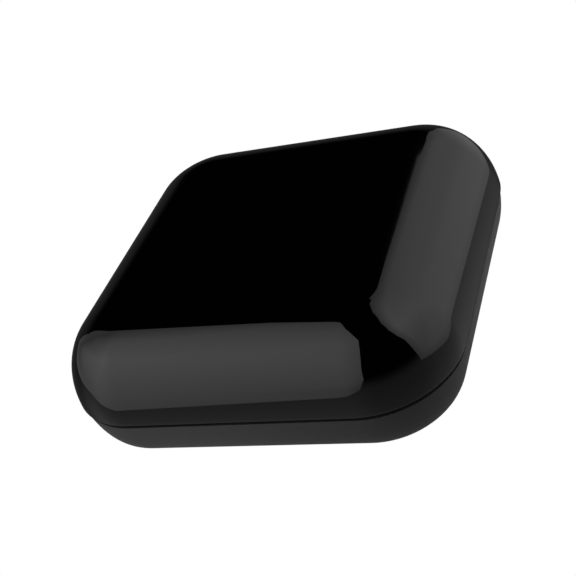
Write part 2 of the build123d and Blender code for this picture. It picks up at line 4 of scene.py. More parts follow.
import bmesh
import bpy
from mathutils import Matrix, Vector

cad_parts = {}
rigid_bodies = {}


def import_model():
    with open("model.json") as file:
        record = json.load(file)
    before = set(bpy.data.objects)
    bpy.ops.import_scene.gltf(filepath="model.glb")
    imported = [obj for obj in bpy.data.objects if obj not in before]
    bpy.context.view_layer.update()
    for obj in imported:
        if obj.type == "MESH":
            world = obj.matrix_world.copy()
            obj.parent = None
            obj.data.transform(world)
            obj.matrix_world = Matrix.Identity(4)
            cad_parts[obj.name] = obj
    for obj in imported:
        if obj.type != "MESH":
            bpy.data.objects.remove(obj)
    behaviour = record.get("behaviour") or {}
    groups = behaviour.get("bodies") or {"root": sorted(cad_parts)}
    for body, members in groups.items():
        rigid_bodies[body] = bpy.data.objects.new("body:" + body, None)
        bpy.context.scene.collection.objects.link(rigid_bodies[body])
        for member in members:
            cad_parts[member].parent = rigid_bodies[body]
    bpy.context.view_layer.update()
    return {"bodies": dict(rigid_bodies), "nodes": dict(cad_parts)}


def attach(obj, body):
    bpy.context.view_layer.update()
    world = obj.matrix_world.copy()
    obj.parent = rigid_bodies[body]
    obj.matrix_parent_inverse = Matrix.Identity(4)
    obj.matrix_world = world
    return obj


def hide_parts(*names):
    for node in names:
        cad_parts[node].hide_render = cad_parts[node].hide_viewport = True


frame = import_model()

MM = 0.001

# ---- the player's own dimensions, millimetres ----
HALF = 44.5              # half the side of the square plan
CORNER_RADIUS = 19.2
CORNER = HALF - CORNER_RADIUS
SEAM = 12.4              # parting line
SEAM_RISE = 0.25         # the cover's edge above the line
SEAM_DROP = 0.8          # the base's edge below it
HEIGHT = 29.0
SHOULDER = 13.3          # run of the cover's rounded shoulder
BASE_STEP = 0.3
BASE_TAPER = 6.0
BASE_WIDE = 14.0
FOOT = 0.6
COVER_WALL = 2.0
COVER_ROOF = 2.2
BASE_WALL = 2.2
BASE_FLOOR = 1.8
EDGE_ROUND = 0.15        # softened edge of the cover
BASE_EDGE_ROUND = 0.08   # crisper edge of the base, under the cover's shade


def direction(azimuth, elevation):
    """A unit vector; azimuth 0 points to -Y (towards the viewer), 90 to +X, degrees."""
    az = math.radians(azimuth)
    el = math.radians(elevation)
    return Vector((math.sin(az) * math.cos(el), -math.cos(az) * math.cos(el), math.sin(el)))


def new_object(name, data):
    """An object of the scene with this mesh or camera."""
    item = bpy.data.objects.new(name, data)
    bpy.context.scene.collection.objects.link(item)
    return item


# ======================================================================
# camera
# ======================================================================
def place_camera(azimuth, elevation, roll, distance, aim, lens):
    """The camera stands in that direction from its aim. Degrees, metres, the lens in millimetres."""
    data = bpy.data.cameras.new("camera")
    data.sensor_width = 36.0
    data.lens = lens
    data.clip_start = 0.01
    data.clip_end = 50.0
    camera = new_object("camera", data)
    back = direction(azimuth, elevation)
    turn = back.to_track_quat("Z", "Y").to_matrix().to_4x4()
    spin = Matrix.Rotation(math.radians(roll), 4, "Z")
    camera.matrix_world = Matrix.Translation(Vector(aim) + back * distance) @ turn @ spin
    bpy.context.scene.camera = camera


place_camera(
    azimuth=29.99, elevation=33.73, roll=-22.95, distance=0.24637,
    aim=(-0.98 * MM, -1.95 * MM, SEAM * MM), lens=67.47
)


# ======================================================================
# studio: white table and dome for the eye, two large panels, the table's glow, a dim room
# ======================================================================
FLOOR_REACH = 4.9        # metres
BACKDROP_REACH = 5.5
PANEL_DISTANCE = 3.0
PANEL_SOFT = 0.2         # share of the way from a panel's rim to its heart where the glow climbs fastest
TABLE_GLOW_DROP = 0.0001 # under the white sheet
TABLE_GLOW_NEAR = 0.06   # radius within which the table's glow evens out
TABLE_GLOW_MIDDLE = 0.8
HORIZON_GLOW = 0.28      # strengths of the room: at and below the horizon,
DOWNWARD_GLOW = 0.12     # added towards straight down,
BEHIND_GLOW = 0.065      # behind the player,
GAP_SHARE = 0.7          # and what is left of it in the gap between the panels
BEHIND = direction(-145, 0)
GAP = direction(38, -15)


def nodes_of(owner):
    """The emptied node tree of a material or a world."""
    owner.use_nodes = True
    tree = owner.node_tree
    tree.nodes.clear()
    return tree


def add_node(tree, kind, **settings):
    node = tree.nodes.new(kind)
    for name, value in settings.items():
        setattr(node, name, value)
    return node


def map_range(tree, source, from_low, from_high, to_low, to_high, smooth=False):
    node = add_node(tree, "ShaderNodeMapRange", interpolation_type="SMOOTHSTEP" if smooth else "LINEAR")
    node.inputs["From Min"].default_value = from_low
    node.inputs["From Max"].default_value = from_high
    node.inputs["To Min"].default_value = to_low
    node.inputs["To Max"].default_value = to_high
    tree.links.new(source, node.inputs["Value"])
    return node.outputs["Result"]


def combine(tree, operation, first, second):
    node = add_node(tree, "ShaderNodeMath", operation=operation)
    tree.links.new(first, node.inputs[0])
    tree.links.new(second, node.inputs[1])
    return node.outputs[0]


def blend_levels(tree, share, first, second):
    """Goes from the first level to the second as the share goes from 0 to 1."""
    node = add_node(tree, "ShaderNodeMix", data_type="FLOAT")
    tree.links.new(share, node.inputs[0])
    tree.links.new(first, node.inputs[2])
    tree.links.new(second, node.inputs[3])
    return node.outputs[0]


def glow_material(name, attribute=None):
    """Plain white light, or light whose strength is read from an attribute of the mesh."""
    material = bpy.data.materials.new(name)
    tree = nodes_of(material)
    out = add_node(tree, "ShaderNodeOutputMaterial")
    glow = add_node(tree, "ShaderNodeEmission")
    glow.inputs["Strength"].default_value = 1.0
    if attribute:
        level = add_node(tree, "ShaderNodeAttribute", attribute_name=attribute)
        tree.links.new(level.outputs["Fac"], glow.inputs["Strength"])
    tree.links.new(glow.outputs[0], out.inputs["Surface"])
    return material


def hide_from(item, *rays):
    """Rays of these kinds pass the object by."""
    for kind in rays:
        setattr(item, "visible_" + kind, False)


def make_floor():
    """A white table sheet for the eye alone."""
    reach = FLOOR_REACH
    mesh = bpy.data.meshes.new("floor")
    mesh.from_pydata(
        [(-reach, -reach, 0), (reach, -reach, 0), (reach, reach, 0), (-reach, reach, 0)], [], [(0, 1, 2, 3)]
    )
    mesh.materials.append(glow_material("floor_white"))
    floor = new_object("floor", mesh)
    hide_from(floor, "diffuse", "glossy", "shadow")


def make_backdrop():
    """A white dome behind everything, seen by the camera alone."""
    mesh = bpy.data.meshes.new("backdrop")
    work = bmesh.new()
    bmesh.ops.create_uvsphere(work, u_segments=48, v_segments=24, radius=BACKDROP_REACH)
    work.to_mesh(mesh)
    work.free()
    mesh.materials.append(glow_material("backdrop_white"))
    dome = new_object("backdrop", mesh)
    hide_from(dome, "diffuse", "glossy", "transmission", "volume_scatter", "shadow")


def glowing_mesh(name, points, faces, levels):
    """A mesh whose glow runs evenly between the strengths at its points; the camera doesn't see it."""
    mesh = bpy.data.meshes.new(name)
    mesh.from_pydata(points, [], faces)
    glow_level = mesh.attributes.new("glow_level", "FLOAT", "POINT")
    for item, level in zip(glow_level.data, levels):
        item.value = level
    mesh.materials.append(glow_material(name, attribute="glow_level"))
    light = new_object(name, mesh)
    hide_from(light, "camera", "shadow")
    return light


def disc_faces(count, fan_start):
    """Quads between two rings of so many points, and a fan from one of the rings to the last point."""
    faces = []
    for k in range(count):
        n = (k + 1) % count
        faces.append((k, n, count + n, count + k))
        faces.append((fan_start + k, fan_start + n, 2 * count))
    return faces


def panel_light(name, heart_at, heart_strength, rim):
    """A fabric panel seen from the player as the polygon with these (azimuth, elevation, rim
    strength, inner strength) corners. The glow climbs from the rim's strength to the inner one
    over the soft share of the way to the heart, and goes on evenly from there."""
    corners = [direction(azimuth, elevation) for azimuth, elevation, outer, inner in rim]
    heart = direction(*heart_at)
    within = [corner.lerp(heart, PANEL_SOFT).normalized() for corner in corners]
    points = [p * PANEL_DISTANCE for p in corners + within + [heart]]
    levels = [corner[2] for corner in rim] + [corner[3] for corner in rim] + [heart_strength]
    glowing_mesh(name, points, disc_faces(len(rim), len(rim)), levels)


def make_table_glow(levels):
    """What the table throws back at matt surfaces: (azimuth, strength) pairs round the player,
    weaker where neither panel lights it."""
    rim = [direction(azimuth, 0) for azimuth, strength in levels]
    strengths = [strength for azimuth, strength in levels]
    down = Vector((0, 0, -TABLE_GLOW_DROP))
    points = [p * TABLE_GLOW_NEAR + down for p in rim] + [p * FLOOR_REACH + down for p in rim] + [down]
    table = glowing_mesh(
        "table_glow", points, disc_faces(len(rim), 0), strengths + strengths + [TABLE_GLOW_MIDDLE]
    )
    hide_from(table, "glossy")


def make_room():
    """The dim surroundings: a glow below the horizon, fainter and higher behind the player, and
    a little weaker in the gap between the two panels. The levels go by the sine of the elevation
    and by the cosine of the angle from BEHIND and from GAP."""
    world = bpy.data.worlds.new("room")
    bpy.context.scene.world = world
    tree = nodes_of(world)
    out = add_node(tree, "ShaderNodeOutputWorld")
    back = add_node(tree, "ShaderNodeBackground")
    coordinates = add_node(tree, "ShaderNodeTexCoord")
    split = add_node(tree, "ShaderNodeSeparateXYZ")
    tree.links.new(coordinates.outputs["Generated"], split.inputs[0])
    height = split.outputs["Z"]

    def nearness(way):
        dot = add_node(tree, "ShaderNodeVectorMath", operation="DOT_PRODUCT")
        dot.inputs[1].default_value = way
        tree.links.new(coordinates.outputs["Generated"], dot.inputs[0])
        return dot.outputs["Value"]

    level = map_range(tree, height, 0.2, -0.12, 0.0, HORIZON_GLOW, smooth=True)
    lower = map_range(tree, height, -0.05, -0.7, 0.0, DOWNWARD_GLOW)
    dip = map_range(tree, nearness(GAP), 0.6, 0.95, 1.0, GAP_SHARE, smooth=True)
    near = combine(tree, "MULTIPLY", combine(tree, "ADD", level, lower), dip)
    far = map_range(tree, height, 0.46, 0.15, 0.0, BEHIND_GLOW, smooth=True)
    behind = map_range(tree, nearness(BEHIND), 0.2, 0.7, 0.0, 1.0, smooth=True)
    tree.links.new(blend_levels(tree, behind, near, far), back.inputs["Strength"])
    tree.links.new(back.outputs[0], out.inputs["Surface"])


make_floor()
# the table is dark in the sector between the two panels
make_table_glow([
    (-180, 1.0), (-140, 1.0), (-100, 1.1), (-60, 1.35), (-30, 1.45), (-8, 1.3), (10, 0.6), (24, 0.05),
    (52, 0.0), (66, 0.6), (80, 1.8), (100, 2.2), (130, 1.7), (155, 1.2)
])
make_backdrop()
make_room()
panel_light("front_panel", (-62, 37), 1.58, [
    (-130, 43, 0.34, 0.37), (-130, 56, 0.50, 0.74), (-121, 64.5, 0.65, 0.94), (-70, 74.5, 0.92, 1.03),
    (2, 62, 1.00, 1.08), (5, 47, 0.95, 1.08), (5, 34, 0.92, 1.06), (4, 20, 0.85, 1.02),
    (4, 8, 0.72, 0.94), (-3, -4, 0.50, 0.88), (-23, -13, 0.74, 0.90), (-39, -16, 0.74, 0.90),
    (-57, -14, 0.72, 0.86), (-70, -8, 0.60, 0.72), (-102, -5.5, 0.34, 0.33), (-114, -1, 0.24, 0.22),
    (-113.5, 20, 0.28, 0.29), (-121.5, 34, 0.34, 0.36)
])
panel_light("rear_panel_light", (125, 28), 1.08, [
    (-166, 27, 0.28, 0.54), (-161.1, 30, 0.30, 0.58), (-159.5, 32, 0.30, 0.58), (-157, 35, 0.30, 0.60),
    (-155.5, 38, 0.30, 0.60), (-159, 45, 0.34, 0.68), (-161, 52, 0.38, 0.78), (178, 72, 0.52, 1.00),
    (82, 71, 0.55, 1.20), (68, 55, 0.62, 1.28), (68, 42, 0.66, 1.20), (71, 30, 0.66, 1.05),
    (71, 16, 0.58, 0.88), (72, -2, 0.46, 0.74), (92, -8, 0.58, 0.86), (116, -15, 0.52, 0.76),
    (140, -15, 0.48, 0.68), (161, -15, 0.36, 0.54), (-177, -14, 0.25, 0.42), (-174, 3, 0.26, 0.42),
    (-173, 15, 0.26, 0.46)
])


# ======================================================================
# materials
# ======================================================================
NOISE_SPAN = (0.3, 0.7)  # where nearly all of a noise's levels lie
BRUSH_SCALE = 6000.0     # cells per metre
BRUSH_DEPTH = 0.000004   # metres
BRUSH_SPREAD = 0.08      # of the roughness
SPECKLE_DEPTH = 0.000006
SPECKLE_SPREAD = 0.05
SHEEN_ROUGHNESS = 0.2
PATCH_SCALE = 160.0      # of the circuit board
TRACK_SCALE = 400.0
TRACK_DEPTH = 0.00003


def principled(name, color, roughness, metallic=0.0, specular=0.5):
    material = bpy.data.materials.new(name)
    tree = nodes_of(material)
    out = add_node(tree, "ShaderNodeOutputMaterial")
    shader = add_node(tree, "ShaderNodeBsdfPrincipled")
    shader.inputs["Base Color"].default_value = (*color, 1.0)
    shader.inputs["Roughness"].default_value = roughness
    shader.inputs["Metallic"].default_value = metallic
    shader.inputs["Specular IOR Level"].default_value = specular
    tree.links.new(shader.outputs[0], out.inputs["Surface"])
    return material, tree, shader


def object_space(tree, stretch=None):
    """The piece's own coordinates, drawn out by three factors if they are given."""
    place = add_node(tree, "ShaderNodeTexCoord").outputs["Object"]
    if stretch:
        mapping = add_node(tree, "ShaderNodeMapping")
        mapping.inputs["Scale"].default_value = stretch
        tree.links.new(place, mapping.inputs["Vector"])
        place = mapping.outputs["Vector"]
    return place


def relief(tree, shader, height, depth):
    bump = add_node(tree, "ShaderNodeBump")
    bump.inputs["Strength"].default_value = 1.0
    bump.inputs["Distance"].default_value = depth
    tree.links.new(height, bump.inputs["Height"])
    tree.links.new(bump.outputs[0], shader.inputs["Normal"])


def grain(tree, shader, scale, depth, detail=2.0, rough=None, stretch=None):
    """Fine relief from noise, which also stirs the gloss if a (low, high) roughness is given:
    scale in cells per metre, depth in metres."""
    noise = add_node(tree, "ShaderNodeTexNoise", noise_dimensions="3D")
    noise.inputs["Scale"].default_value = scale
    noise.inputs["Detail"].default_value = detail
    tree.links.new(object_space(tree, stretch), noise.inputs["Vector"])
    relief(tree, shader, noise.outputs["Fac"], depth)
    if rough:
        stirred = map_range(tree, noise.outputs["Fac"], *NOISE_SPAN, *rough)
        tree.links.new(stirred, shader.inputs["Roughness"])


def cell_levels(tree, scale, **settings):
    """A random level for each cell of the piece's space."""
    cells = add_node(tree, "ShaderNodeTexVoronoi", feature="F1", **settings)
    cells.inputs["Scale"].default_value = scale
    tree.links.new(object_space(tree), cells.inputs["Vector"])
    pick = add_node(tree, "ShaderNodeSeparateColor")
    tree.links.new(cells.outputs["Color"], pick.inputs[0])
    return pick.outputs[0]


def two_colors(tree, shader, share, first, second):
    """The base colour goes from the first to the second colour as the share goes from 0 to 1."""
    blend = add_node(tree, "ShaderNodeMix", data_type="RGBA")
    ends = [socket for socket in blend.inputs if socket.type == "RGBA"]
    for socket, color in zip(ends, (first, second)):
        socket.default_value = (*color, 1.0)
    tree.links.new(share, blend.inputs[0])
    mixed = [socket for socket in blend.outputs if socket.type == "RGBA"][0]
    tree.links.new(mixed, shader.inputs["Base Color"])


def gloss_black():
    material, tree, shader = principled("gloss_black_plastic", (0.0004, 0.0004, 0.0004), 0.03)
    grain(tree, shader, scale=60.0, depth=0.000002, detail=1.0)
    return material


def grained(
    name, color, roughness, metallic=0.0, specular=0.5, scale=2500.0, depth=0.00001, spread=0.06, sheen=0.0
):
    """A plain stuff whose fine grain stirs both its relief and its gloss."""
    material, tree, shader = principled(name, color, roughness, metallic, specular)
    shader.inputs["Sheen Weight"].default_value = sheen
    shader.inputs["Sheen Roughness"].default_value = SHEEN_ROUGHNESS
    grain(tree, shader, scale, depth, detail=3.0, rough=(roughness - spread, roughness + spread))
    return material


def brushed(name, color, roughness, along=(1.0, 0.04, 1.0)):
    """Rolled or brushed metal: the grain is drawn out along one direction."""
    material, tree, shader = principled(name, color, roughness, metallic=1.0)
    grain(
        tree, shader, BRUSH_SCALE, BRUSH_DEPTH, detail=4.0,
        rough=(roughness - BRUSH_SPREAD, roughness + BRUSH_SPREAD), stretch=along
    )
    return material


def speckled(name, ground, fleck, roughness, scale, share):
    """Two colours in small cells: moulded packages, ferrite, ceramics and filled pads."""
    material, tree, shader = principled(name, ground, roughness)
    flecks = map_range(tree, cell_levels(tree, scale), 1.0 - share, 1.0, 0.0, 1.0)
    two_colors(tree, shader, flecks, ground, fleck)
    grain(
        tree, shader, scale, SPECKLE_DEPTH,
        rough=(roughness - SPECKLE_SPREAD, roughness + SPECKLE_SPREAD)
    )
    return material


def circuit_board():
    """Dark green solder mask over copper: tracks run in x in some patches and in y in others."""
    mask = (0.006, 0.045, 0.02)
    over_copper = (0.018, 0.115, 0.045)
    material, tree, shader = principled("solder_mask", mask, 0.32)
    tracks = []
    for bands in ("X", "Y"):
        wave = add_node(tree, "ShaderNodeTexWave", wave_type="BANDS", bands_direction=bands)
        wave.inputs["Scale"].default_value = TRACK_SCALE
        tree.links.new(object_space(tree), wave.inputs["Vector"])
        tracks.append(map_range(tree, wave.outputs["Fac"], 0.5, 0.6, 0.0, 1.0))
    patches = map_range(tree, cell_levels(tree, PATCH_SCALE, distance="CHEBYCHEV"), 0.49, 0.51, 0.0, 1.0)
    either = blend_levels(tree, patches, *tracks)
    two_colors(tree, shader, either, mask, over_copper)
    relief(tree, shader, either, TRACK_DEPTH)
    return material


def clear_guide():
    material, tree, shader = principled("clear_acrylic", (0.95, 0.95, 0.95), 0.04)
    shader.inputs["Transmission Weight"].default_value = 0.95
    shader.inputs["IOR"].default_value = 1.49
    grain(tree, shader, scale=300.0, depth=0.000002)
    return material


GLOSS = gloss_black()
MATT = grained(
    "matt_black_plastic", (0.024, 0.024, 0.024), 0.56, specular=0.4, scale=3500.0, depth=0.00008, sheen=0.08
)
RUBBER = grained("foot_rubber", (0.012, 0.012, 0.012), 0.78, specular=0.25, depth=0.00002)
SOCKET = grained("socket_plastic", (0.008, 0.008, 0.008), 0.38, scale=1500.0)
BUTTON = grained("button_plastic", (0.05, 0.05, 0.052), 0.45, scale=1800.0)
LABEL = grained("label_film", (0.045, 0.045, 0.048), 0.5, scale=900.0, depth=0.000008)
DARK_STEEL = brushed("blackened_steel", (0.06, 0.06, 0.065), 0.38)
BRIGHT_STEEL = brushed("bright_steel", (0.56, 0.56, 0.57), 0.28)
TINNED = brushed("tinned_steel", (0.72, 0.71, 0.68), 0.3)
ALUMINIUM = brushed("spreader_aluminium", (0.78, 0.79, 0.8), 0.34)
CAN = grained("capacitor_aluminium", (0.8, 0.8, 0.82), 0.25, metallic=1.0, scale=900.0)
BRASS = brushed("brass", (0.72, 0.5, 0.2), 0.27, along=(1.0, 1.0, 0.05))
GOLD = grained("gold_plate", (0.9, 0.63, 0.24), 0.2, metallic=1.0, scale=4000.0, depth=0.000002)
NICKEL = grained("nickel_plate", (0.62, 0.58, 0.52), 0.16, metallic=1.0, scale=1200.0, depth=0.000002)
BOARD = circuit_board()
CHIP = speckled("chip_epoxy", (0.012, 0.012, 0.013), (0.035, 0.035, 0.036), 0.5, 5000.0, 0.3)
FERRITE = speckled("ferrite", (0.03, 0.03, 0.032), (0.09, 0.09, 0.095), 0.48, 4000.0, 0.3)
CERAMIC = speckled("ceramic_tan", (0.36, 0.25, 0.15), (0.5, 0.38, 0.25), 0.42, 6000.0, 0.4)
PAD = speckled("thermal_pad", (0.24, 0.33, 0.45), (0.4, 0.5, 0.6), 0.7, 3000.0, 0.4)
JACKET = grained("lead_jacket", (0.02, 0.02, 0.021), 0.4, scale=1200.0)
FILM = grained("antenna_film", (0.3, 0.14, 0.035), 0.3, scale=700.0, depth=0.000006)
RESIN = grained("receiver_resin", (0.012, 0.006, 0.012), 0.12, scale=500.0, depth=0.000003)
LENS = grained("light_lens", (0.75, 0.75, 0.7), 0.22, scale=900.0, depth=0.000003)
GUIDE = clear_guide()

# every CAD piece, its material and the width of its softened edges in millimetres (0: kept as it is)
PIECES = {
    "foot_pad": (RUBBER, 0), "rating_label": (LABEL, 0), "rear_panel": (MATT, 0.12),
    "case_screws": (DARK_STEEL, 0.1), "board_screws": (BRIGHT_STEEL, 0.08),
    "main_board": (BOARD, 0), "processor": (CHIP, 0.06), "memory_chips": (CHIP, 0.05),
    "flash_chip": (CHIP, 0.05), "power_chips": (CHIP, 0.05), "chip_resistors": (CHIP, 0),
    "chip_capacitors": (CERAMIC, 0.08), "crystals": (TINNED, 0.1), "inductors": (FERRITE, 0.3),
    "network_transformer": (CHIP, 0.15), "electrolytic_capacitors": (CAN, 0),
    "shield_frame": (TINNED, 0), "shield_lid": (TINNED, 0), "chip_pad": (PAD, 0), "lid_pad": (PAD, 0),
    "heat_spreader": (ALUMINIUM, 0.1), "spreader_standoffs": (BRASS, 0.06),
    "spreader_screws": (BRIGHT_STEEL, 0.08), "wireless_module": (BOARD, 0), "wireless_shield": (TINNED, 0),
    "coax_plugs": (GOLD, 0.06), "antenna_lead_left": (JACKET, 0), "antenna_lead_right": (JACKET, 0),
    "antenna_left": (FILM, 0), "antenna_right": (FILM, 0), "video_socket_shell": (TINNED, 0.05),
    "video_socket_tongue": (SOCKET, 0), "video_socket_contacts": (GOLD, 0),
    "network_socket_housing": (SOCKET, 0.06), "network_socket_screen": (TINNED, 0.05),
    "network_socket_contacts": (GOLD, 0), "power_socket_body": (SOCKET, 0.12),
    "power_centre_pin": (NICKEL, 0), "power_side_contact": (NICKEL, 0), "reset_button": (BUTTON, 0),
    "reset_switch_body": (SOCKET, 0.1), "reset_switch_stem": (BUTTON, 0.08),
    "remote_receiver": (RESIN, 0.15), "status_light": (LENS, 0), "light_guide": (GUIDE, 0),
}


# ======================================================================
# shells of the rounded square body
# ======================================================================
CORNER_STEPS = 36        # points round a plan corner and along a side
SIDE_STEPS = 24
COVER_STEPS = 56         # points down the outside and the inside of each shell's section
COVER_INNER_STEPS = 24
BASE_STEPS = 40
BASE_INNER_STEPS = 16
EDGE_CLEAR = 0.3         # section points nearer to the edge than this give way to its rounding
BASE_EDGE_CLEAR = 0.25
FLAT_RING = 0.4          # one more ring on the flat faces keeps their shading level up to the edge


def ring(reach, z):
    """Points round the body at a distance from the corner centres, counter-clockwise, mm."""
    points = []
    for quarter in range(4):
        start = math.pi / 2 * quarter
        cx = CORNER if quarter in (0, 3) else -CORNER
        cy = CORNER if quarter in (0, 1) else -CORNER
        for step in range(CORNER_STEPS):
            angle = start + math.pi / 2 * step / CORNER_STEPS
            points.append((cx + reach * math.cos(angle), cy + reach * math.sin(angle), z))
        # the straight side that follows this corner
        end = start + math.pi / 2
        ax = cx + reach * math.cos(end)
        ay = cy + reach * math.sin(end)
        for step in range(SIDE_STEPS):
            run = 2 * CORNER * step / SIDE_STEPS
            points.append((ax - math.sin(end) * run, ay + math.cos(end) * run, z))
    return points


def cover_profile(inset, roof, steps):
    """(reach, z) from the parting line up to the flat top."""
    flat = CORNER_RADIUS - SHOULDER
    wide = SHOULDER - inset
    tall = HEIGHT - SEAM - roof
    return [
        (flat + wide * math.cos(a), SEAM + tall * math.sin(a))
        for a in (math.pi / 2 * k / steps for k in range(steps + 1))
    ]


def base_profile(inset, lift, top, steps):
    """(reach, z) from the level top down to the flat bottom."""
    flat = CORNER_RADIUS - BASE_STEP - BASE_TAPER
    wide = BASE_TAPER - inset
    tall = BASE_WIDE - FOOT - lift
    first = math.asin((BASE_WIDE - top) / tall)
    return [
        (flat + wide * math.cos(a), BASE_WIDE - tall * math.sin(a))
        for a in (first + (math.pi / 2 - first) * k / steps for k in range(steps + 1))
    ]


def rounded_edge(corner, before, after, radius, steps=4):
    """Points of a small arc-like blend at a corner of a profile."""
    a = Vector(corner) + (Vector(before) - Vector(corner)).normalized() * radius
    b = Vector(corner) + (Vector(after) - Vector(corner)).normalized() * radius
    points = []
    for k in range(steps + 1):
        t = k / steps
        p = a.lerp(Vector(corner), t).lerp(Vector(corner).lerp(b, t), t)
        points.append((p.x, p.y))
    return points


def tidy_normals(piece):
    work = bmesh.new()
    work.from_mesh(piece.data)
    bmesh.ops.recalc_face_normals(work, faces=work.faces)
    work.to_mesh(piece.data)
    work.free()


def solid(name, points, faces):
    """An object from points in millimetres, with its faces turned outwards."""
    mesh = bpy.data.meshes.new(name)
    mesh.from_pydata([Vector(p) * MM for p in points], [], faces)
    mesh.update()
    piece = new_object(name, mesh)
    tidy_normals(piece)
    return piece


def lathe_square(name, profile, closed=False):
    """A solid from (reach, z) pairs, ring by ring; ends are capped unless the profile is closed."""
    points = []
    faces = []
    for reach, z in profile:
        points.extend(ring(reach, z))
    count = 4 * (CORNER_STEPS + SIDE_STEPS)
    rows = len(profile)
    last = rows if closed else rows - 1
    for row in range(last):
        low = row * count
        high = ((row + 1) % rows) * count
        for k in range(count):
            n = (k + 1) % count
            faces.append((low + k, low + n, high + n, high + k))
    if not closed:
        faces.append(tuple(range(count))[::-1])
        faces.append(tuple((rows - 1) * count + k for k in range(count)))
    return solid(name, points, faces)


def finish_piece(piece, body, material, replaced, smooth_angle=30.0):
    tidy_normals(piece)
    piece.data.materials.clear()
    piece.data.materials.append(material)
    piece.data.shade_smooth()
    bpy.context.view_layer.objects.active = piece
    for other in bpy.context.selected_objects:
        other.select_set(False)
    piece.select_set(True)
    bpy.ops.object.shade_auto_smooth(angle=math.radians(smooth_angle))
    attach(piece, body)
    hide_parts(*replaced)


def cut(piece, tool, operation="DIFFERENCE"):
    """Applies a boolean with another object, which is then removed."""
    change = piece.modifiers.new("cut", "BOOLEAN")
    change.operation = operation
    change.solver = "EXACT"
    change.object = tool
    evaluated = piece.evaluated_get(bpy.context.evaluated_depsgraph_get())
    result = bpy.data.meshes.new_from_object(evaluated)
    piece.modifiers.clear()
    piece.data = result
    bpy.data.objects.remove(tool)


def round_outline(x, y, radius, steps=32):
    """A circle; the outline grows with the margin it is asked for."""
    def points(margin):
        reach = radius + margin
        turns = [2 * math.pi * k / steps for k in range(steps)]
        return [(x + reach * math.cos(t), y + reach * math.sin(t)) for t in turns]
    return points


def box_outline(x, y, width, depth, radius, steps=8):
    """A rectangle with round corners; the outline grows with the margin it is asked for."""
    def points(margin):
        found = []
        for quarter, (sx, sy) in enumerate(((1, 1), (-1, 1), (-1, -1), (1, -1))):
            for k in range(steps + 1):
                turn = math.pi / 2 * (quarter + k / steps)
                found.append((
                    x + sx * (width / 2 - radius) + (radius + margin) * math.cos(turn),
                    y + sy * (depth / 2 - radius) + (radius + margin) * math.sin(turn)
                ))
        return found
    return points


def bars(name, outlines, levels, upright=True):
    """Closed bars with these outlines through the (level, margin) pairs, along Z or along Y."""
    points = []
    faces = []
    for outline in outlines:
        start = len(points)
        for level, margin in levels:
            for a, b in outline(margin):
                points.append((a, b, level) if upright else (a, level, b))
        count = (len(points) - start) // len(levels)
        for row in range(len(levels) - 1):
            low = start + row * count
            for k in range(count):
                n = (k + 1) % count
                faces.append((low + k, low + n, low + count + n, low + count + k))
        faces.append(tuple(start + k for k in range(count))[::-1])
        faces.append(tuple(len(points) - count + k for k in range(count)))
    return solid(name, points, faces)


def rods(name, places, radius, levels, steps=32):
    """Round bars that stand at these places."""
    return bars(name, [round_outline(x, y, radius, steps) for x, y in places], levels)


def straight(low, high):
    """Levels of a bar without a margin."""
    return [(low, 0.0), (high, 0.0)]


def four(x, low, high):
    """The (x, y) places of a pair on each side."""
    return [(sign * x, y) for sign in (-1, 1) for y in (low, high)]


CASE_SCREWS = four(32.5, -32.5, 32.5)
BOARD_SCREWS = four(27.0, -29.0, 26.5)
RIBS = four(41.5, -9.0, 9.0)
HOLE_STEPS = 24          # points round the small holes
BOSS_MEET = 8.0          # the level where the cover's bosses stand on the base's
BOSS_EASE = 0.15         # the chamfer of both
COVER_BOSS = 3.0         # radii
COVER_PILOT = 1.1
BASE_BOSS = 3.2
STANDOFF = 3.0
BOARD_PILOT = 1.0
SCREW_HOLE = 1.3
COUNTERBORE = 2.25
COUNTERBORE_DEEP = 2.0
BOARD_LEVEL = 4.6
IN_FLOOR = 1.5           # a level inside the base's floor, where its fittings start
IN_WALL = 1.0            # a depth inside the cover's wall and one inside its roof, where its fittings end
IN_ROOF = 1.1
LIP_GAP = 0.15           # between the lip and the cover's wall
LIP_WALL = 1.35
LIP_FOOT = 8.5
LIP_TOP = 13.8
LIP_EASE = 0.2
MOUTH = [(FOOT - 0.3, 0.45), (FOOT + 0.15, 0.0)]   # softened mouth of an opening underneath
VENTS = 10
VENT_PITCH = 3.6
LABEL_RECESS = box_outline(0.0, -12.0, 34.3, 20.3, 1.2)
LABEL_LEVEL = 0.85
GROOVE = [(6.7, 0.1), (6.7, 1.1), (2.7, 1.1), (2.7, 0.1)]


def window_tool():
    window = box_outline(0.0, 11.8, 50.0, 15.2, 3.0)
    return bars("window_tool", [window], straight(38.0, 45.5), upright=False)


def trimmed(fittings):
    """The share of the cover's fittings that ends inside its wall."""
    within = [(CORNER_RADIUS - IN_WALL, 5.0)] + cover_profile(IN_WALL, IN_ROOF, COVER_INNER_STEPS)
    cut(fittings, lathe_square("within", within), "INTERSECT")
    return fittings


